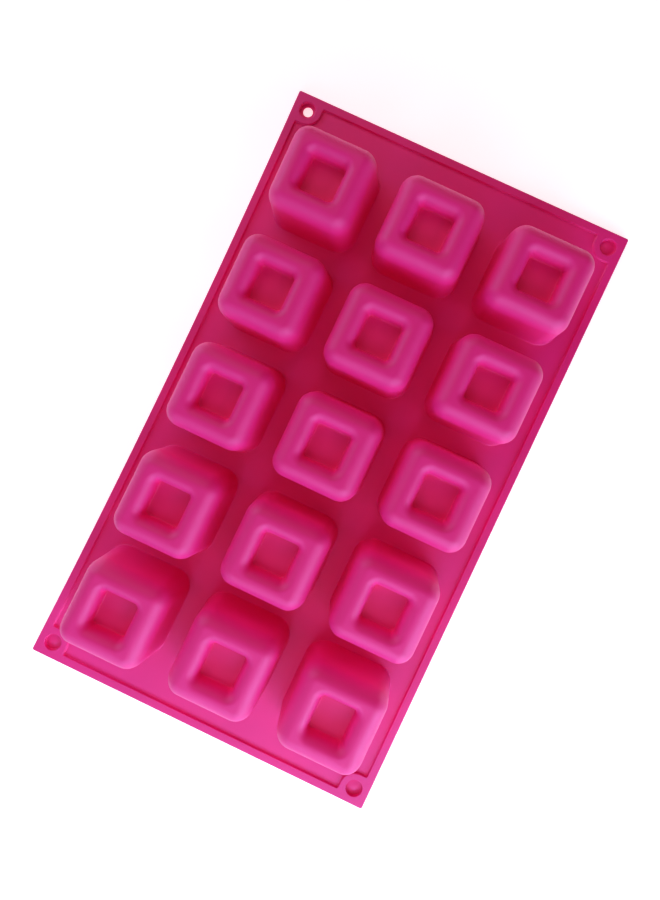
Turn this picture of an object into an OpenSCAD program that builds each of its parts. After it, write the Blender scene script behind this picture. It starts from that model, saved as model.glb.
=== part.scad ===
// Silicone mould with a grid of square cavities, lying face down on a table.
// The open mouths of the cavities are at z = 0 and the backs of the cups point up (+Z).
// Origin: centre of the underside. +X runs along the long side, +Y along the short side.
// The real object is one flexible moulding; each node here is one region of it,
// and neighbouring regions meet face to face.

/* [Sheet] */
// Length of the sheet, along X
sheet_l = 300; // [290:1:340]
// Width of the sheet, along Y
sheet_w = 175; // [170:1:200]
// Thickness of the thin deck between the cups
deck_t = 1.8; // [1.2:0.1:2.4]
// Width of the raised border
rim_w = 4; // [2:0.5:4]
// Height of the raised border and of the corner pads
rim_t = 3; // [2.6:0.1:5]
// Radius of the sheet's four outer corners
sheet_corner_r = 1; // [0.5:0.1:3]

/* [Cups] */
// Number of rows of cups, along X
rows = 5; // [1:1:5]
// Number of columns of cups, along Y
columns = 3; // [1:1:3]
// Distance between the centres of two rows
pitch_x = 53.4; // [50:0.1:54]
// Distance between the centres of two columns
pitch_y = 53.5; // [50:0.1:54]
// Height from the mouth of a cavity to the crown of its cup
mould_h = 35; // [30:0.5:40]
// Width of a cup outside, where its wall meets the deck
cup_w = 43.4; // [42.8:0.1:46]
// Plan radius of a cup's four corners at the deck
cup_corner_r = 9.1; // [8.5:0.1:12]
// Draft of the cup walls, in degrees
cup_draft = 3; // [2:0.5:3.5]
// Width in plan of the elliptical shoulder between the wall and the crown
shoulder_w = 7; // [5:0.1:7.2]
// Height of the shoulder
shoulder_h = 10; // [6:0.5:12]
// Radius of the fillet from the deck into the wall
foot_r = 0.5; // [0.3:0.1:1.5]
// Thickness of the cup walls and of the crown
wall_t = 1.6; // [1.2:0.1:2]

/* [Well] */
// Width of the flat floor of the well in each crown
well_w = 16.2; // [12:0.1:16.7]
// Depth of the well below the crown
well_d = 8.6; // [7.2:0.1:9.6]
// Plan radius of the well's corners at its floor
well_corner_r = 1.5; // [1:0.1:3]
// Draft of the well's walls, in degrees
well_draft = 8; // [4:1:10]
// Width in plan of the elliptical lip between the crown and the well's wall
lip_w = 4.7; // [3.5:0.1:4.9]
// Height of the lip
lip_h = 6.5; // [4.5:0.5:7]

/* [Corner pads] */
// Distance of each pad's centre from both edges of the sheet
pad_inset = 7.5; // [7:0.1:8]
// Radius of the pad round its centre
pad_r = 7; // [6:0.1:7]
// Radius of the round pocket in each pad
pocket_r = 4; // [3.5:0.1:4.5]
// Thickness of the skin left under each pocket
pocket_floor = 1; // [0.8:0.1:1.6]
// Radius of the hanging hole through the skin of one pad
eyelet_r = 2.4; // [2:0.1:3.2]

/* [Hidden] */
$fn = 96;
// How far a cut runs past the face that it opens
past = 1;
// Width of flat deck that belongs to a cup outside its foot fillet
seat_margin = 0.5;
// Number of straight steps in each rounded part of a profile
foot_steps = 3;
shoulder_steps = 7;
lip_steps = 7;
cavity_steps = 5;
island_steps = 2;
pad_steps = 8;

// How far a wall with this draft lies from the centre of an ellipse that it touches, at the centre's height
function wall_from_centre(w, h, draft) = norm([w * cos(draft), h * sin(draft)]) / cos(draft);
// Centre of the shoulder's ellipse
shoulder_z = mould_h - shoulder_h;
shoulder_c = [
    cup_w / 2 - (shoulder_z - deck_t) * tan(cup_draft) - wall_from_centre(shoulder_w, shoulder_h, cup_draft),
    shoulder_z];
// Half the width of the cup's wall at height z, d millimetres inside its outer face
function wall_half(z, d = 0) =
    shoulder_c[0] + (shoulder_z - z) * tan(cup_draft)
    + wall_from_centre(shoulder_w - d, shoulder_h - d, cup_draft);
// Centre of the plan corners: the same for every height of the cup
cup_a = cup_w / 2 - cup_corner_r;
// Half the footprint of a cup in the deck, with its foot fillet and a little flat deck
seat_half = wall_half(deck_t + foot_r) + foot_r / cos(cup_draft) + seat_margin;
// Centre of the plan corners of the well, and the height of its floor
well_a = well_w / 2 - well_corner_r;
well_z = mould_h - well_d;
// Centre of the lip's ellipse
lip_z = mould_h - lip_h;
lip_c = [well_w / 2 + (lip_z - well_z) * tan(well_draft) + wall_from_centre(lip_w, lip_h, well_draft), lip_z];
// Height of the cavity's ceiling under the crown, and of the island's face under the well
ceiling_z = mould_h - wall_t;
island_z = well_z - wall_t;

// Points of an arc about c, from angle a0 to angle a1 in n steps
function arc(c, r, a0, a1, n) =
    [for (i = [0:n]) let (a = a0 + (a1 - a0) * i / n) [c[0] + r * cos(a), c[1] + r * sin(a)]];
// Points of an ellipse about c with half axes w and h, from the wall that touches it up to its top.
// A negative w turns it towards the middle of the cup.
function ellipse(c, w, h, draft, n) =
    let (a0 = atan(h / abs(w) * tan(draft)))
    [for (i = [0:n]) let (a = a0 + (90 - a0) * i / n) c + [w * cos(a), h * sin(a)]];
// The same points with their first coordinate measured from a corner centre at a
function from_corner(a, points) = [for (p = points) [p[0] - a, p[1]]];
function cup_name(row, column) = str("cup_r", row, "_c", column);

// Sweeps a profile round a square whose corner centres are at (+-a, +-a).
// The profile starts at the corner centres and runs between heights z0 and z1 there.
module square_sweep(a, z0, z1) {
    translate([-a, -a, z0]) cube([2 * a, 2 * a, z1 - z0]);
    for (turn = [0:90:270]) rotate([0, 0, turn]) translate([a, a, 0]) {
        rotate_extrude(angle = 90) children();
        rotate([90, 0, 0]) linear_extrude(2 * a) children();
    }
}

// Outside of a cup with its seat in the deck, before the well is cut
module cup_outside() {
    foot_c = [seat_half - seat_margin, deck_t + foot_r];
    square_sweep(cup_a, 0, mould_h) polygon(concat(
        [[0, 0], [seat_half - cup_a, 0], [seat_half - cup_a, deck_t]],
        from_corner(cup_a, arc(foot_c, foot_r, 270, 180 + cup_draft, foot_steps)),
        from_corner(cup_a, ellipse(shoulder_c, shoulder_w, shoulder_h, cup_draft, shoulder_steps)),
        [[0, mould_h]]));
}

// Space of the well, open above the crown
module well_space() {
    square_sweep(well_a, well_z, mould_h + past) polygon(concat(
        [[0, well_z], [well_corner_r, well_z]],
        from_corner(well_a, ellipse(lip_c, -lip_w, lip_h, well_draft, lip_steps)),
        [[lip_c[0] - well_a, mould_h + past], [0, mould_h + past]]));
}

// Underside of the well, which stands down into the cavity
module island() {
    square_sweep(well_a, island_z, mould_h) polygon(concat(
        [[0, island_z]],
        from_corner(well_a, arc([well_w / 2, well_z], wall_t, 270, 360 - well_draft, island_steps)),
        from_corner(well_a, ellipse(lip_c, wall_t - lip_w, lip_h - wall_t, well_draft, lip_steps)),
        [[lip_c[0] - well_a, mould_h], [0, mould_h]]));
}

// Space inside a cup, open below the sheet
module cavity_space() {
    difference() {
        square_sweep(cup_a, -past, ceiling_z) polygon(concat(
            [[0, -past], [wall_half(0, wall_t) - cup_a, -past], [wall_half(0, wall_t) - cup_a, 0]],
            from_corner(cup_a,
                ellipse(shoulder_c, shoulder_w - wall_t, shoulder_h - wall_t, cup_draft, cavity_steps)),
            [[0, ceiling_z]]));
        island();
    }
}

module at_cup(row, column) {
    translate([((rows + 1) / 2 - row) * pitch_x, ((columns + 1) / 2 - column) * pitch_y, 0]) children();
}

module cup(row, column) {
    color("hotpink") at_cup(row, column) difference() {
        cup_outside();
        well_space();
        cavity_space();
    }
}

// Plan of a cup's seat
module cup_seat() {
    square([2 * seat_half, 2 * cup_a], center = true);
    square([2 * cup_a, 2 * seat_half], center = true);
    for (x = [-1, 1], y = [-1, 1]) translate([x * cup_a, y * cup_a]) circle(seat_half - cup_a);
}

// Plan of the pad in the corner at +X +Y: round towards the cups, square with the sheet's corner
module pad_plan() {
    centre = [sheet_l / 2 - pad_inset, sheet_w / 2 - pad_inset];
    corner = [sheet_l / 2 - sheet_corner_r, sheet_w / 2 - sheet_corner_r];
    polygon(concat(
        arc(centre, pad_r, 180, 270, pad_steps),
        [[sheet_l / 2, centre[1] - pad_r]],
        arc(corner, sheet_corner_r, 0, 90, pad_steps),
        [[centre[0] - pad_r, sheet_w / 2]]));
}

// Thin deck, with a seat cut out for each cup
module deck() {
    color("deeppink") linear_extrude(deck_t) difference() {
        square([sheet_l - 2 * rim_w, sheet_w - 2 * rim_w], center = true);
        for (x = [0, 1], y = [0, 1]) mirror([x, 0]) mirror([0, y]) pad_plan();
        for (row = [1:rows], column = [1:columns]) at_cup(row, column) cup_seat();
    }
}

// Raised border: four straight bars between the corner pads
module rim() {
    reach = pad_inset + pad_r;
    color("mediumvioletred") {
        for (y = [0, 1]) mirror([0, y, 0]) translate([reach - sheet_l / 2, sheet_w / 2 - rim_w, 0])
            cube([sheet_l - 2 * reach, rim_w, rim_t]);
        for (x = [0, 1]) mirror([x, 0, 0]) translate([sheet_l / 2 - rim_w, reach - sheet_w / 2, 0])
            cube([rim_w, sheet_w - 2 * reach, rim_t]);
    }
}

// Corner pad with a blind round pocket in its top face
module pad() {
    difference() {
        linear_extrude(rim_t) pad_plan();
        translate([sheet_l / 2 - pad_inset, sheet_w / 2 - pad_inset, pocket_floor])
            cylinder(r = pocket_r, h = rim_t);
    }
}

// The pad at +X +Y, whose pocket is pierced so that the mould can hang on a hook
module hanging_eyelet() {
    color("violet") difference() {
        pad();
        translate([sheet_l / 2 - pad_inset, sheet_w / 2 - pad_inset, -past])
            cylinder(r = eyelet_r, h = rim_t + 2 * past);
    }
}

module corner_pad_right() { color("violet") mirror([0, 1, 0]) pad(); }
module corner_pad_left() { color("violet") mirror([1, 0, 0]) pad(); }
module corner_pad_far() { color("violet") mirror([1, 0, 0]) mirror([0, 1, 0]) pad(); }

deck();
rim();
hanging_eyelet();
corner_pad_right();
corner_pad_left();
corner_pad_far();
for (row = [1:rows], column = [1:columns])
    cup(row, column);
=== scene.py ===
"""Looks of the silicone cavity mould: every region of the moulding as a smooth closed mesh in satin silicone.

The mould lies face down. Each cup, the deck, the border and the corner pads are built by sweeping
profiles round their plans, in metres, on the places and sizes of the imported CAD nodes.
"""

import math
import random

import bmesh
import bpy
from mathutils import Matrix, Vector
from mathutils.geometry import delaunay_2d_cdt


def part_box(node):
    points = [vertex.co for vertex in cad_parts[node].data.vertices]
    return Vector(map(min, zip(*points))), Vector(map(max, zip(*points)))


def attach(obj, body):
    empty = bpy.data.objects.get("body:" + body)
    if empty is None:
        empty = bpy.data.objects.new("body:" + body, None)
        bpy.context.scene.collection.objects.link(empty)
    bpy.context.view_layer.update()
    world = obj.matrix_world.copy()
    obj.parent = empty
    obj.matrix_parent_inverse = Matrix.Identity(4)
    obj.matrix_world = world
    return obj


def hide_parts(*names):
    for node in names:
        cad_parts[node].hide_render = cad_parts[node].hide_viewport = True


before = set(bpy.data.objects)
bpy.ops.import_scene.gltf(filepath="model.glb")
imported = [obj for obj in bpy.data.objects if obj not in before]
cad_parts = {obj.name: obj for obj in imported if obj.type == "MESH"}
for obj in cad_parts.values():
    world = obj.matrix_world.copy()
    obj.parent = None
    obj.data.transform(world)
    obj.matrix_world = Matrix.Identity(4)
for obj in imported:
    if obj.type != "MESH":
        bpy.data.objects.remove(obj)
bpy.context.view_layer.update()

MM = 0.001

# Rounds, drafts and thicknesses of the moulding that the node boxes don't give
WALL = 1.6 * MM
CUP_HALF = 21.7 * MM
CUP_CORNER_R = 9.1 * MM
CUP_DRAFT = math.radians(3.0)
SHOULDER_W = 7.0 * MM
SHOULDER_H = 10.0 * MM
FOOT_R = 0.5 * MM
MOUTH_R = 0.7 * MM
WELL_HALF = 8.1 * MM
WELL_DEPTH = 8.6 * MM
WELL_CORNER_R = 1.5 * MM
WELL_DRAFT = math.radians(8.0)
WELL_FLOOR_R = 0.6 * MM
LIP_W = 4.7 * MM
LIP_H = 6.5 * MM
SHEET_CORNER_R = 1.0 * MM
PAD_INSET = 7.5 * MM
PAD_R = 7.0 * MM
POCKET_R = 4.0 * MM
POCKET_FLOOR = 1.0 * MM
POCKET_DOME = 0.4 * MM
EYELET_R = 2.4 * MM
RIM_W = 4.0 * MM

# How far past the small corners of the deck's outline the border is cut into pads and bars
CUT_CLEARANCE = 0.5 * MM

# Small rounds of the border, the pads and the deck
RIM_OUTER_R = 0.5 * MM
RIM_INNER_R = 0.4 * MM
RIM_BOTTOM_R = 0.4 * MM
DECK_FILLET = 0.5 * MM
PANEL_CORNER_R = 1.0 * MM
POCKET_LIP_R = 0.3 * MM
POCKET_FOOT_R = 0.3 * MM
EYELET_EDGE_R = 0.3 * MM

# Straight steps in the rounded square of a cup or well, seen from above: in each corner and in each side
CORNER_STEPS = 10
SIDE_STEPS = 10
# Straight steps in the profile of a cup, outside and inside
FOOT_STEPS = 5
WALL_STEPS = 9
SHOULDER_STEPS = 20
LIP_STEPS = 16
WELL_WALL_STEPS = 3
WELL_FLOOR_STEPS = 4
CAVITY_SHOULDER_STEPS = 14
BOSS_LIP_STEPS = 12
BOSS_FOOT_STEPS = 6
# Straight steps in the plans and profiles of the deck, the border and the pads
SHEET_CORNER_STEPS = 6
PANEL_CORNER_STEPS = 5
PAD_STEPS = 14
CIRCLE_STEPS = 40
DECK_FILLET_STEPS = 4
RIM_BOTTOM_STEPS = 3
RIM_OUTER_STEPS = 6
RIM_INNER_STEPS = 5
POCKET_STEPS = 4
EYELET_STEPS = 3
DOME_STEPS = 6
# Share of a dome's radius that is left flat at its top
DOME_FLAT = 0.1
# Longest edge in a straight side, and the distance between the inner points of a flat
EDGE_SPACING = 6.0 * MM
# Width of the flat strip beside a round, which keeps the flat's shading flat
SUPPORT = 0.25 * MM
# Points closer than this become one
WELD_DISTANCE = 0.0001 * MM
# Edges that turn by more than this are shaded sharp
SHARP_ANGLE = math.radians(35)

rim_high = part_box("rim")[1]
SHEET_HALF_X = rim_high.x
SHEET_HALF_Y = rim_high.y
RIM_T = rim_high.z
DECK_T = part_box("deck")[1].z
PANEL_HALF_X = SHEET_HALF_X - RIM_W
PANEL_HALF_Y = SHEET_HALF_Y - RIM_W
PAD_X = SHEET_HALF_X - PAD_INSET
PAD_Y = SHEET_HALF_Y - PAD_INSET
CUP_NAMES = sorted(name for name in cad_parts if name.startswith("cup_"))
first_low, first_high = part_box(CUP_NAMES[0])
SEAT_HALF = (first_high.x - first_low.x) / 2
MOULD_H = first_high.z
# Where the corner centres of a cup and of its well lie, the same at every height
CUP_A = CUP_HALF - CUP_CORNER_R
WELL_A = WELL_HALF - WELL_CORNER_R
# Where the border is cut into pads and bars
CUT_X = PAD_X - PAD_R - PANEL_CORNER_R - CUT_CLEARANCE
CUT_Y = PAD_Y - PAD_R - PANEL_CORNER_R - CUT_CLEARANCE


def cup_centre(name):
    low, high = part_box(name)
    return (low.x + high.x) / 2, (low.y + high.y) / 2


# ---------------------------------------------------------------- outlines

def arc(centre, radius, start, end, steps):
    """Points of an arc from angle start to angle end, in degrees."""
    angles = [math.radians(start + (end - start) * i / steps) for i in range(steps + 1)]
    return [(centre[0] + radius * math.cos(a), centre[1] + radius * math.sin(a)) for a in angles]


def between(start, end, steps):
    """Points of a straight stretch in this many steps, both ends left out."""
    return [(start[0] + (end[0] - start[0]) * i / steps, start[1] + (end[1] - start[1]) * i / steps)
            for i in range(1, steps)]


def line(start, end):
    """Points of a straight side, both ends left out, no further apart than the edge spacing."""
    return between(start, end, max(1, math.ceil(math.dist(start, end) / EDGE_SPACING)))


def square_loop(half, corner_a):
    """A rounded square with its corner centres at +-corner_a, the same point count for every size."""
    points = []
    for turn in range(4):
        spin = math.radians(90 * turn)
        corner = arc((corner_a, corner_a), half - corner_a, 0, 90, CORNER_STEPS)
        side = [(corner_a - 2 * corner_a * i / SIDE_STEPS, half) for i in range(1, SIDE_STEPS)]
        for x, y in corner + side:
            points.append((x * math.cos(spin) - y * math.sin(spin), x * math.sin(spin) + y * math.cos(spin)))
    return points


def mirrored_quadrants(quadrant):
    """A closed loop, counter-clockwise, from its points in the +X +Y quadrant."""
    flipped = quadrant[::-1]
    return (quadrant + [(-x, y) for x, y in flipped] + [(-x, -y) for x, y in quadrant]
            + [(x, -y) for x, y in flipped])


def sheet_loop(inset):
    """Outline of the whole sheet, moved inwards by inset."""
    corner = (SHEET_HALF_X - SHEET_CORNER_R, SHEET_HALF_Y - SHEET_CORNER_R)
    turn = arc(corner, SHEET_CORNER_R - inset, 0, 90, SHEET_CORNER_STEPS)
    start, end = (SHEET_HALF_X - inset, EDGE_SPACING / 2), (EDGE_SPACING / 2, SHEET_HALF_Y - inset)
    return mirrored_quadrants([start] + line(start, turn[0]) + turn + line(turn[-1], end) + [end])


def panel_loop(outset):
    """Outline of the deck inside the border, moved towards the border by outset."""
    r = PANEL_CORNER_R
    x_edge, y_edge = PANEL_HALF_X + outset, PANEL_HALF_Y + outset
    first = arc((PANEL_HALF_X - r, PAD_Y - PAD_R - r), r + outset, 0, 90, PANEL_CORNER_STEPS)
    pad = arc((PAD_X, PAD_Y), PAD_R - outset, 270, 180, PAD_STEPS)
    last = arc((PAD_X - PAD_R - r, PANEL_HALF_Y - r), r + outset, 0, 90, PANEL_CORNER_STEPS)
    start, end = (x_edge, EDGE_SPACING / 2), (EDGE_SPACING / 2, y_edge)
    return mirrored_quadrants(
        [start] + line(start, first[0]) + first + line(first[-1], pad[0])
        + pad + line(pad[-1], last[0]) + last + line(last[-1], end) + [end])


def circle_loop(centre, radius):
    return arc(centre, radius, 0, 360, CIRCLE_STEPS)[:-1]


def inside(point, loop):
    """Whether a point lies inside a closed loop."""
    x, y = point
    hit = False
    for (x1, y1), (x2, y2) in zip(loop, loop[1:] + loop[:1]):
        if (y1 > y) != (y2 > y) and x < x1 + (y - y1) * (x2 - x1) / (y2 - y1):
            hit = not hit
    return hit


# ---------------------------------------------------------------- mesh making

class Skin:
    """Gathers the strips and flats of one closed mesh and welds them into an object."""

    def __init__(self, mesh=None):
        self.mesh = bmesh.new() if mesh is None else mesh

    def ring(self, loop, z):
        return [self.mesh.verts.new((x, y, z)) for x, y in loop]

    def strips(self, rings, flip=False):
        """Quads between neighbouring loops, each given as (loop, z)."""
        made = [self.ring(loop, z) for loop, z in rings]
        for low, high in zip(made, made[1:]):
            for i in range(len(low)):
                j = (i + 1) % len(low)
                quad = [low[i], low[j], high[j], high[i]]
                self.mesh.faces.new(quad[::-1] if flip else quad)

    def grid_cap(self, loop, z, down=False):
        """Fills a flat loop of 4 * m points with an m by m grid, corners at the middle of the corner arcs."""
        m = len(loop) // 4
        shift = CORNER_STEPS // 2
        walk = loop[shift:] + loop[:shift]
        sides = [(walk + walk[:1])[k * m:k * m + m + 1] for k in range(4)]
        top, left, bottom, right = sides[0], sides[1], sides[2][::-1], sides[3][::-1]
        grid = []
        for v in range(m + 1):
            row = []
            for u in range(m + 1):
                s, t = u / m, v / m
                blend = [
                    (1 - t) * top[u][k] + t * bottom[u][k] + (1 - s) * right[v][k] + s * left[v][k]
                    - (1 - s) * (1 - t) * top[0][k] - s * (1 - t) * top[m][k]
                    - (1 - s) * t * bottom[0][k] - s * t * bottom[m][k]
                    for k in range(2)]
                row.append(self.mesh.verts.new((blend[0], blend[1], z)))
            grid.append(row)
        for v in range(m):
            for u in range(m):
                quad = [grid[v][u], grid[v][u + 1], grid[v + 1][u + 1], grid[v + 1][u]]
                self.mesh.faces.new(quad[::-1] if down else quad)

    def flat(self, outer, holes, z, down=False, inner_points=False):
        """Triangles between an outer loop and its holes, with or without inner points on a square grid."""
        points, edges = [], []
        for loop in [outer] + holes:
            start = len(points)
            points += loop
            edges += [(start + i, start + (i + 1) % len(loop)) for i in range(len(loop))]
        if inner_points:
            points += self.grid_points(outer, holes)
        verts, _, faces, *_ = delaunay_2d_cdt([Vector(p) for p in points], edges, [], 0, WELD_DISTANCE)
        made = [self.mesh.verts.new((p.x, p.y, z)) for p in verts]
        for face in faces:
            middle = sum((verts[i] for i in face), Vector((0, 0))) / len(face)
            if inside(middle, outer) and not any(inside(middle, hole) for hole in holes):
                corners = [made[i] for i in face]
                self.mesh.faces.new(corners[::-1] if down else corners)
        loose = [v for v in made if not v.link_faces]
        bmesh.ops.delete(self.mesh, geom=loose, context="VERTS")

    @staticmethod
    def grid_points(outer, holes):
        """Points of a square grid inside the outer loop, outside the holes and clear of every edge."""
        xs, ys = [p[0] for p in outer], [p[1] for p in outer]
        edge = [p for loop in [outer] + holes for p in loop]
        found = []
        for i in range(int((max(xs) - min(xs)) / EDGE_SPACING) + 1):
            for j in range(int((max(ys) - min(ys)) / EDGE_SPACING) + 1):
                point = (min(xs) + (i + 0.5) * EDGE_SPACING, min(ys) + (j + 0.5) * EDGE_SPACING)
                if not inside(point, outer) or any(inside(point, hole) for hole in holes):
                    continue
                if min(math.dist(point, p) for p in edge) > EDGE_SPACING / 2:
                    found.append(point)
        return found

    def cut(self, plane_point, plane_normal):
        """Removes what lies on the normal's side of a plane and closes the cut."""
        geometry = self.mesh.verts[:] + self.mesh.edges[:] + self.mesh.faces[:]
        result = bmesh.ops.bisect_plane(
            self.mesh, geom=geometry, dist=WELD_DISTANCE, plane_co=plane_point, plane_no=plane_normal,
            clear_outer=True)
        cut_edges = [g for g in result["geom_cut"] if isinstance(g, bmesh.types.BMEdge)]
        bmesh.ops.holes_fill(self.mesh, edges=cut_edges, sides=0)

    def weld(self):
        """Joins the strips and flats where they meet and turns every face outwards."""
        bmesh.ops.remove_doubles(self.mesh, verts=self.mesh.verts[:], dist=WELD_DISTANCE)
        bmesh.ops.recalc_face_normals(self.mesh, faces=self.mesh.faces[:])

    def copy(self):
        return Skin(self.mesh.copy())

    def to_object(self, name, bend):
        """Welds the skin, moves every point by bend and makes a smoothly shaded object of it."""
        self.weld()
        for vertex in self.mesh.verts:
            vertex.co = bend(vertex.co)
        data = bpy.data.meshes.new(name)
        self.mesh.to_mesh(data)
        self.mesh.free()
        data.polygons.foreach_set("use_smooth", [True] * len(data.polygons))
        data.set_sharp_from_angle(angle=SHARP_ANGLE)
        piece = bpy.data.objects.new(name, data)
        bpy.context.scene.collection.objects.link(piece)
        return piece


# ---------------------------------------------------------------- the shape of soft silicone

# The sheet doesn't lie quite straight: the middle of its +Y edge is pulled in, less and less further inwards
BOW = 2.2 * MM
BOW_FADES_AT_Y = -50 * MM
# and it is sheared, so that its +X end lies a little slanting
SHEAR = 0.0085
# How far a crown may lean from its true place, each by a random amount
LEAN = 0.2 * MM
LEAN_SEED = 15


def bow(co):
    """Where a point of the straight mould lies in the slightly bowed and sheared one."""
    along = 1 - (co.x / SHEET_HALF_X) ** 2
    across = max(0.0, (co.y - BOW_FADES_AT_Y) / (SHEET_HALF_Y - BOW_FADES_AT_Y)) ** 3
    slant = SHEAR * (co.x + SHEET_HALF_X) / (2 * SHEET_HALF_X)
    return Vector((co.x - slant * co.y, co.y - BOW * along * across, co.z))


def cup_bend(centre, lean):
    """Puts a cup built at the origin in its place, leaning more the higher a point is."""
    def bend(co):
        share = max(0.0, (co.z - DECK_T) / (MOULD_H - DECK_T))
        return bow(Vector((co.x + centre[0] + lean[0] * share, co.y + centre[1] + lean[1] * share, co.z)))
    return bend


# ---------------------------------------------------------------- cups

def wall_from_centre(wide, high, draft):
    """Distance of a drafted wall from the centre of an ellipse that it touches, at the centre's height."""
    return math.hypot(wide * math.cos(draft), high * math.sin(draft)) / math.cos(draft)


def ellipse(centre, wide, high, draft, steps):
    """Points of an ellipse from the wall that touches it up to its top; a negative width turns it inwards."""
    start = math.atan(high / abs(wide) * math.tan(draft))
    angles = [start + (math.pi / 2 - start) * i / steps for i in range(steps + 1)]
    return [(centre[0] + wide * math.cos(a), centre[1] + high * math.sin(a)) for a in angles]


# Centre of the shoulder's ellipse
SHOULDER_Z = MOULD_H - SHOULDER_H
SHOULDER_X = (CUP_HALF - (SHOULDER_Z - DECK_T) * math.tan(CUP_DRAFT)
              - wall_from_centre(SHOULDER_W, SHOULDER_H, CUP_DRAFT))


def wall_half(z, depth=0.0):
    """Half width of the cup's wall at height z, depth metres inside its outer face."""
    return (SHOULDER_X + (SHOULDER_Z - z) * math.tan(CUP_DRAFT)
            + wall_from_centre(SHOULDER_W - depth, SHOULDER_H - depth, CUP_DRAFT))


def cup_rings(points, corner_a):
    """Sweeps a profile of (half width, height) round a rounded square."""
    return [(square_loop(half, corner_a), z) for half, z in points]


def build_cup(name, lean):
    """One cup with its seat in the deck: a thin shell round the cavity, with the well in its crown."""
    draft, well_draft = math.degrees(CUP_DRAFT), math.degrees(WELL_DRAFT)
    well_z, lip_z = MOULD_H - WELL_DEPTH, MOULD_H - LIP_H
    lip_x = WELL_HALF + (lip_z - well_z) * math.tan(WELL_DRAFT) + wall_from_centre(LIP_W, LIP_H, WELL_DRAFT)
    lip = (lip_x, lip_z)
    foot = (wall_half(DECK_T + FOOT_R) + FOOT_R / math.cos(CUP_DRAFT), DECK_T + FOOT_R)

    # Outside: the seat in the deck, the foot fillet, the wall, the shoulder, then the well
    foot_arc = arc(foot, FOOT_R, 270, 180 + draft, FOOT_STEPS)
    outer_arc = ellipse((SHOULDER_X, SHOULDER_Z), SHOULDER_W, SHOULDER_H, CUP_DRAFT, SHOULDER_STEPS)
    outside = ([(SEAT_HALF, DECK_T), (foot[0] + SUPPORT, DECK_T)] + foot_arc
               + between(foot_arc[-1], outer_arc[0], WALL_STEPS) + outer_arc)
    floor_half = WELL_HALF - WELL_FLOOR_R * (1 / math.cos(WELL_DRAFT) - math.tan(WELL_DRAFT))
    lip_arc = ellipse(lip, -LIP_W, LIP_H, WELL_DRAFT, LIP_STEPS)[::-1]
    floor_arc = arc((floor_half, well_z + WELL_FLOOR_R), WELL_FLOOR_R, -well_draft, -90, WELL_FLOOR_STEPS)
    well = (lip_arc + between(lip_arc[-1], floor_arc[0], WELL_WALL_STEPS) + floor_arc
            + [(floor_half - SUPPORT, well_z)])

    # Inside: the mouth's round edge, the cavity wall and ceiling, then the boss under the well
    mouth = (wall_half(MOUTH_R, WALL) + MOUTH_R / math.cos(CUP_DRAFT), MOUTH_R)
    mouth_arc = arc(mouth, MOUTH_R, 270, 180 + draft, FOOT_STEPS)
    inner_arc = ellipse((SHOULDER_X, SHOULDER_Z), SHOULDER_W - WALL, SHOULDER_H - WALL, CUP_DRAFT,
                        CAVITY_SHOULDER_STEPS)
    cavity = ([(SEAT_HALF, 0.0), (mouth[0] + SUPPORT, 0.0)] + mouth_arc
              + between(mouth_arc[-1], inner_arc[0], WALL_STEPS) + inner_arc)
    boss_lip = ellipse(lip, WALL - LIP_W, LIP_H - WALL, WELL_DRAFT, BOSS_LIP_STEPS)[::-1]
    boss_foot = arc((WELL_HALF, well_z), WALL, -well_draft, -90, BOSS_FOOT_STEPS)
    boss = (boss_lip + between(boss_lip[-1], boss_foot[0], WELL_WALL_STEPS) + boss_foot
            + [(WELL_HALF - SUPPORT, well_z - WALL)])

    skin = Skin()
    skin.strips(cup_rings(outside, CUP_A) + cup_rings(well, WELL_A))
    skin.grid_cap(square_loop(well[-1][0], WELL_A), well_z)
    skin.strips(cup_rings(cavity, CUP_A) + cup_rings(boss, WELL_A), flip=True)
    skin.grid_cap(square_loop(boss[-1][0], WELL_A), well_z - WALL, down=True)
    skin.strips(cup_rings([(SEAT_HALF, 0.0), (SEAT_HALF, DECK_T)], CUP_A))
    return skin.to_object(name + "_silicone", cup_bend(cup_centre(name), lean))


# ---------------------------------------------------------------- deck, border and pads

def build_deck():
    """The thin flat deck, with a hole for each cup's seat and a fillet up to the border."""
    seats = []
    for name in CUP_NAMES:
        cx, cy = cup_centre(name)
        seats.append([(x + cx, y + cy) for x, y in square_loop(SEAT_HALF, CUP_A)])
    fillet = [(panel_loop(-DECK_FILLET - SUPPORT), DECK_T)]
    for outset, z in arc((-DECK_FILLET, DECK_T + DECK_FILLET), DECK_FILLET, 270, 360, DECK_FILLET_STEPS):
        fillet.append((panel_loop(outset), z))
    skin = Skin()
    skin.strips(fillet)
    skin.flat(fillet[0][0], seats, DECK_T, inner_points=True)
    skin.flat(panel_loop(0.0), seats, 0.0, down=True, inner_points=True)
    skin.strips([(panel_loop(0.0), 0.0), (panel_loop(0.0), DECK_T + DECK_FILLET)])
    for seat in seats:
        skin.strips([(seat, 0.0), (seat, DECK_T)], flip=True)
    return skin.to_object("deck_silicone", bow)


def dome_rings(radius):
    """Rings of a low dome with a cosine profile, from its edge towards its top."""
    rings = []
    for i in range(DOME_STEPS + 1):
        share = 1 - (1 - DOME_FLAT) * i / DOME_STEPS
        rings.append((radius * share, POCKET_FLOOR + POCKET_DOME * (1 + math.cos(math.pi * share)) / 2))
    return rings


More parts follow.
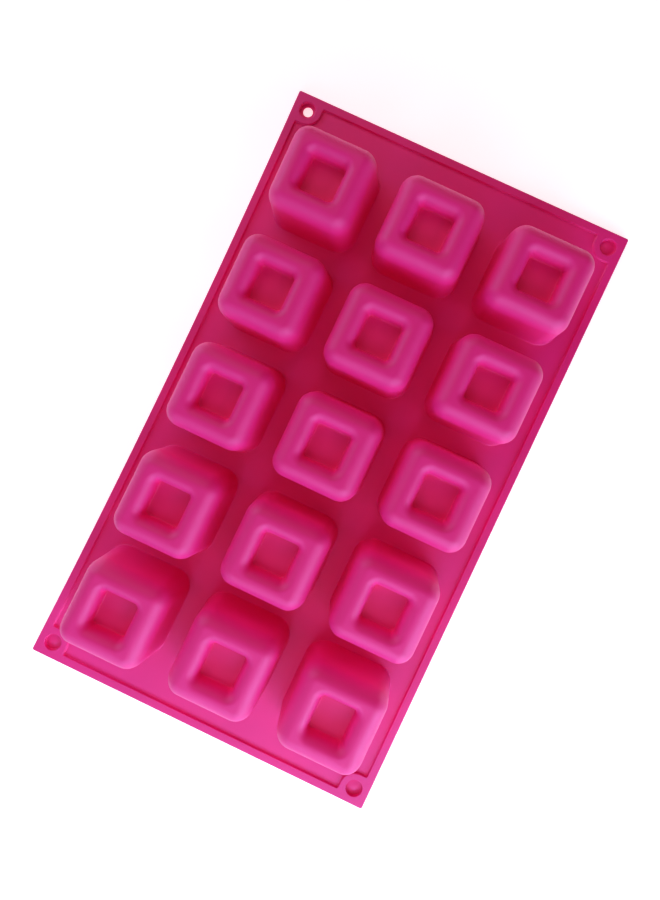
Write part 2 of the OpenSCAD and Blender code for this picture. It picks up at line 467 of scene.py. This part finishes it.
def border_skin():
    """The border and its four pads as one closed mesh, before it is cut into pieces."""
    skin = Skin()
    bottom_arc = arc((RIM_BOTTOM_R, RIM_BOTTOM_R), RIM_BOTTOM_R, 270, 180, RIM_BOTTOM_STEPS)
    top_arc = arc((RIM_OUTER_R, RIM_T - RIM_OUTER_R), RIM_OUTER_R, 180, 90, RIM_OUTER_STEPS)
    outside = [(sheet_loop(inset), z) for inset, z in bottom_arc + top_arc]
    outside.append((sheet_loop(RIM_OUTER_R + SUPPORT), RIM_T))
    inner_arc = arc((RIM_INNER_R, RIM_T - RIM_INNER_R), RIM_INNER_R, 180, 90, RIM_INNER_STEPS)
    inner = [(panel_loop(0.0), 0.0), (panel_loop(0.0), DECK_T + DECK_FILLET)]
    inner += [(panel_loop(outset), z) for outset, z in inner_arc]
    inner.append((panel_loop(RIM_INNER_R + SUPPORT), RIM_T))
    skin.strips(outside)
    skin.strips(inner, flip=True)

    pads = [(x * PAD_X, y * PAD_Y) for x in (1, -1) for y in (1, -1)]
    pierced_pad = pads[0]
    lip_arc = arc((POCKET_R + POCKET_LIP_R, RIM_T - POCKET_LIP_R), POCKET_LIP_R, 90, 180, POCKET_STEPS)
    foot_centre = (POCKET_R - POCKET_FOOT_R, POCKET_FLOOR + POCKET_FOOT_R)
    foot_arc = arc(foot_centre, POCKET_FOOT_R, 0, -90, POCKET_STEPS)
    pocket = [(POCKET_R + POCKET_LIP_R + SUPPORT, RIM_T)] + lip_arc + foot_arc
    edge_r = EYELET_R + EYELET_EDGE_R
    eyelet_top = arc((edge_r, POCKET_FLOOR - EYELET_EDGE_R), EYELET_EDGE_R, 90, 180, EYELET_STEPS)
    eyelet_low = arc((edge_r, EYELET_EDGE_R), EYELET_EDGE_R, 180, 270, EYELET_STEPS)
    dome = dome_rings(foot_arc[-1][0])
    for centre in pads:
        profiles = [pocket + eyelet_top + eyelet_low] if centre == pierced_pad else [pocket, dome]
        for profile in profiles:
            skin.strips([(circle_loop(centre, radius), z) for radius, z in profile])
        if centre != pierced_pad:
            skin.flat(circle_loop(centre, dome[-1][0]), [], dome[-1][1])
    pocket_holes = [circle_loop(centre, pocket[0][0]) for centre in pads]
    skin.flat(outside[-1][0], [inner[-1][0]] + pocket_holes, RIM_T)
    hole = circle_loop(pierced_pad, eyelet_low[-1][0])
    skin.flat(outside[0][0], [inner[0][0], hole], 0.0, down=True)
    skin.weld()
    return skin


def build_pad(border, node, side_x, side_y):
    """One corner of the border, on the given sides (1 or -1) of the sheet."""
    pad = border.copy()
    pad.cut(Vector((side_x * CUT_X, 0, 0)), Vector((-side_x, 0, 0)))
    pad.cut(Vector((0, side_y * CUT_Y, 0)), Vector((0, -side_y, 0)))
    return pad.to_object(node + "_silicone", bow)


def build_rim(border):
    """The four straight bars of the border between the pads, as one object."""
    x_axis, y_axis = Vector((1, 0, 0)), Vector((0, 1, 0))
    bars = Skin()
    for out, along, inner_cut, end_cut in (
            (x_axis, y_axis, CUT_X, CUT_Y), (-x_axis, y_axis, CUT_X, CUT_Y),
            (y_axis, x_axis, CUT_Y, CUT_X), (-y_axis, x_axis, CUT_Y, CUT_X)):
        bar = border.copy()
        bar.cut(out * inner_cut, -out)
        bar.cut(along * end_cut, along)
        bar.cut(-along * end_cut, -along)
        scratch = bpy.data.meshes.new("bar")
        bar.mesh.to_mesh(scratch)
        bar.mesh.free()
        bars.mesh.from_mesh(scratch)
        bpy.data.meshes.remove(scratch)
    return bars.to_object("rim_silicone", bow)


# ---------------------------------------------------------------- material

# The colour wanders between these two, which are reached at these two values of the noise
PINK_DEEP = (0.865, 0.0036, 0.20, 1)
PINK_PALE = (0.895, 0.0044, 0.22, 1)
TINT_STOPS = (0.3, 0.7)
# The roughness wanders between these two values
ROUGHNESS_RANGE = (0.56, 0.64)
SHEEN_TINT = (0.7, 0.65, 1.0, 1)
SHEEN_LEVEL = 1.0
REFRACTIVE_INDEX = 1.5
# Painted light: an even faint red self-glow that stands in for the light soaking through thin silicone
PAINTED_GLOW_COLOR = (1.0, 0.003, 0.02, 1)
PAINTED_GLOW_STRENGTH = 0.03
# Noise textures, as patches per metre and octaves of detail
TINT_NOISE = (22.0, 3.0)
SATIN_NOISE = (60.0, 4.0)
GRAIN_NOISE = (1800.0, 2.0)
SWELL_NOISE = (95.0, 1.0)
# Bumps, as strength and depth
GRAIN_BUMP = (0.12, 0.12 * MM)
SWELL_BUMP = (0.25, 0.6 * MM)


def silicone():
    """Hot pink satin silicone rubber with a painted faint red glow, a soft swell and a fine moulded grain."""
    material = bpy.data.materials.new("silicone")
    material.use_nodes = True
    nodes, links = material.node_tree.nodes, material.node_tree.links
    shader = nodes["Principled BSDF"]
    shader.inputs["IOR"].default_value = REFRACTIVE_INDEX
    shader.inputs["Specular IOR Level"].default_value = SHEEN_LEVEL
    shader.inputs["Specular Tint"].default_value = SHEEN_TINT
    # Painted light: a faint even red self-glow standing in for light soaking through the silicone
    shader.inputs["Emission Color"].default_value = PAINTED_GLOW_COLOR
    shader.inputs["Emission Strength"].default_value = PAINTED_GLOW_STRENGTH
    position = nodes.new("ShaderNodeTexCoord")

    def noise(scale, detail):
        texture = nodes.new("ShaderNodeTexNoise")
        texture.inputs["Scale"].default_value = scale
        texture.inputs["Detail"].default_value = detail
        links.new(position.outputs["Object"], texture.inputs["Vector"])
        return texture.outputs["Fac"]

    def bump(height, strength, depth):
        node = nodes.new("ShaderNodeBump")
        node.inputs["Strength"].default_value = strength
        node.inputs["Distance"].default_value = depth
        links.new(height, node.inputs["Height"])
        return node

    tint = nodes.new("ShaderNodeValToRGB")
    deep, pale = tint.color_ramp.elements
    deep.position, pale.position = TINT_STOPS
    deep.color, pale.color = PINK_DEEP, PINK_PALE
    links.new(noise(*TINT_NOISE), tint.inputs["Fac"])
    links.new(tint.outputs["Color"], shader.inputs["Base Color"])

    satin = nodes.new("ShaderNodeMapRange")
    satin.inputs["To Min"].default_value, satin.inputs["To Max"].default_value = ROUGHNESS_RANGE
    links.new(noise(*SATIN_NOISE), satin.inputs["Value"])
    links.new(satin.outputs["Result"], shader.inputs["Roughness"])

    grain = bump(noise(*GRAIN_NOISE), *GRAIN_BUMP)
    swell = bump(noise(*SWELL_NOISE), *SWELL_BUMP)
    links.new(swell.outputs["Normal"], grain.inputs["Normal"])
    links.new(grain.outputs["Normal"], shader.inputs["Normal"])
    return material


# ---------------------------------------------------------------- pieces

# The side of the sheet, along X and along Y, on which each pad lies
PAD_SIDES = {
    "hanging_eyelet": (1, 1),
    "corner_pad_right": (1, -1),
    "corner_pad_left": (-1, 1),
    "corner_pad_far": (-1, -1),
}
draws = random.Random(LEAN_SEED)
pieces = {}
for cup_name in CUP_NAMES:
    offset = (draws.uniform(-LEAN, LEAN), draws.uniform(-LEAN, LEAN))
    pieces[cup_name] = build_cup(cup_name, offset)
pieces["deck"] = build_deck()
whole_border = border_skin()
for pad_name, (side_x, side_y) in PAD_SIDES.items():
    pieces[pad_name] = build_pad(whole_border, pad_name, side_x, side_y)
pieces["rim"] = build_rim(whole_border)
whole_border.mesh.free()

pink = silicone()
for node, piece in pieces.items():
    piece.data.materials.append(pink)
    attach(piece, "root")
    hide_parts(node)


# ---------------------------------------------------------------- floor, light and camera

FLOOR_REACH = 1.5
FLOOR_Z = -0.1 * MM
FLOOR_COLOR = (0.9, 0.9, 0.9, 1)
FLOOR_ROUGHNESS = 0.9
# The floor is slightly self-lit, so that it is pure white in the picture
FLOOR_GLOW = 0.62
WHITE = (1, 1, 1, 1)


def plain_floor():
    data = bpy.data.meshes.new("floor")
    corners = [(x * FLOOR_REACH, y * FLOOR_REACH, FLOOR_Z) for x, y in ((-1, -1), (1, -1), (1, 1), (-1, 1))]
    data.from_pydata(corners, [], [(0, 1, 2, 3)])
    floor = bpy.data.objects.new("floor", data)
    bpy.context.scene.collection.objects.link(floor)
    paper = bpy.data.materials.new("pale_floor")
    paper.use_nodes = True
    shader = paper.node_tree.nodes["Principled BSDF"]
    shader.inputs["Base Color"].default_value = FLOOR_COLOR
    shader.inputs["Roughness"].default_value = FLOOR_ROUGHNESS
    shader.inputs["Emission Color"].default_value = WHITE
    shader.inputs["Emission Strength"].default_value = FLOOR_GLOW
    data.materials.append(paper)


# The camera looks down, and the picture's right and down lie along these two directions.
# The lens axis meets the sheet beside its middle; the shift frames the sheet in the picture's centre.
EYE = Vector((0.0174, -0.0160, 0.3270))
CAMERA_X = Vector((0.4282, -0.9036, -0.0107))
CAMERA_Y_DOWN = Vector((-0.9036, -0.4279, -0.0209))
# Focal length and height of the sensor, in millimetres; shift in heights of the picture
LENS = 17.987
SENSOR = 24.0
SHIFT = (-0.0433, -0.0420)
NEAR_CLIP = 10 * MM


def camera():
    """The photo's viewpoint."""
    data = bpy.data.cameras.new("camera")
    data.sensor_fit = "VERTICAL"
    data.sensor_height = SENSOR
    data.lens = LENS
    data.shift_x, data.shift_y = SHIFT
    data.clip_start = NEAR_CLIP
    eye = bpy.data.objects.new("camera", data)
    right = CAMERA_X.normalized()
    up = -(CAMERA_Y_DOWN - right * CAMERA_Y_DOWN.dot(right)).normalized()
    eye.matrix_world = Matrix.Translation(EYE) @ Matrix((right, up, right.cross(up))).transposed().to_4x4()
    bpy.context.scene.collection.objects.link(eye)
    bpy.context.scene.camera = eye


COOL = (0.6, 1.15, 1.4)
PALE = (1.0, 0.87, 0.97)
WARM = (1.2, 0.7, 0.7)
# The point above the middle of the sheet that every softbox faces
AIM = Vector((0, 0, 20 * MM))
WORLD_STRENGTH = 0.02

# Softboxes: bearing from the picture's near side towards its right, and elevation, in degrees; distance,
# width and height, in metres; brightness; tint. The near boxes stand close, so they give the near rows
# more sheen than the far rows.
SOFTBOXES = {
    "near_window": (5, 26, 0.48, 0.60, 0.12, 5.0, COOL),
    "near_left_window": (-50, 24, 0.50, 0.35, 0.14, 2.05, COOL),
    "near_right_window": (30, 13, 0.50, 0.40, 0.14, 2.3, COOL),
    "right_window": (45, 14, 1.20, 0.90, 0.30, 3.2, COOL),
    "far_left_window": (225, 18, 1.20, 0.90, 0.36, 3.5, COOL),
    "near_roof": (0, 50, 0.38, 0.40, 0.14, 1.6, PALE),
    "right_fill": (45, 35, 1.20, 0.90, 0.36, 1.75, WARM),
    "far_fill": (180, 42, 1.20, 0.90, 0.50, 2.0, WARM),
    "left_fill": (240, 45, 1.20, 0.90, 0.50, 1.05, WARM),
}


def softbox(name, bearing, elevation, distance, width, height, brightness, tint):
    """An area light facing the mould; brightness is its radiance, whatever its size."""
    data = bpy.data.lights.new(name, "AREA")
    data.shape = "RECTANGLE"
    data.size, data.size_y = width, height
    data.energy = math.pi * width * height * brightness
    data.color = tint
    turn, lift = math.radians(bearing), math.radians(elevation)
    near = Vector((CAMERA_Y_DOWN.x, CAMERA_Y_DOWN.y, 0)).normalized()
    right = Vector((CAMERA_X.x, CAMERA_X.y, 0)).normalized()
    flat = near * math.cos(turn) + right * math.sin(turn)
    lamp = bpy.data.objects.new(name, data)
    lamp.location = distance * (flat * math.cos(lift) + Vector((0, 0, math.sin(lift))))
    lamp.rotation_euler = (AIM - lamp.location).to_track_quat("-Z", "Y").to_euler()
    bpy.context.scene.collection.objects.link(lamp)


def studio():
    """The softboxes and a faint even light from all round."""
    for name, values in SOFTBOXES.items():
        softbox(name, *values)
    world = bpy.data.worlds.new("studio")
    bpy.context.scene.world = world
    world.use_nodes = True
    backdrop = world.node_tree.nodes["Background"]
    backdrop.inputs["Color"].default_value = WHITE
    backdrop.inputs["Strength"].default_value = WORLD_STRENGTH


plain_floor()
studio()
camera()
bpy.context.scene.view_settings.view_transform = "Standard"
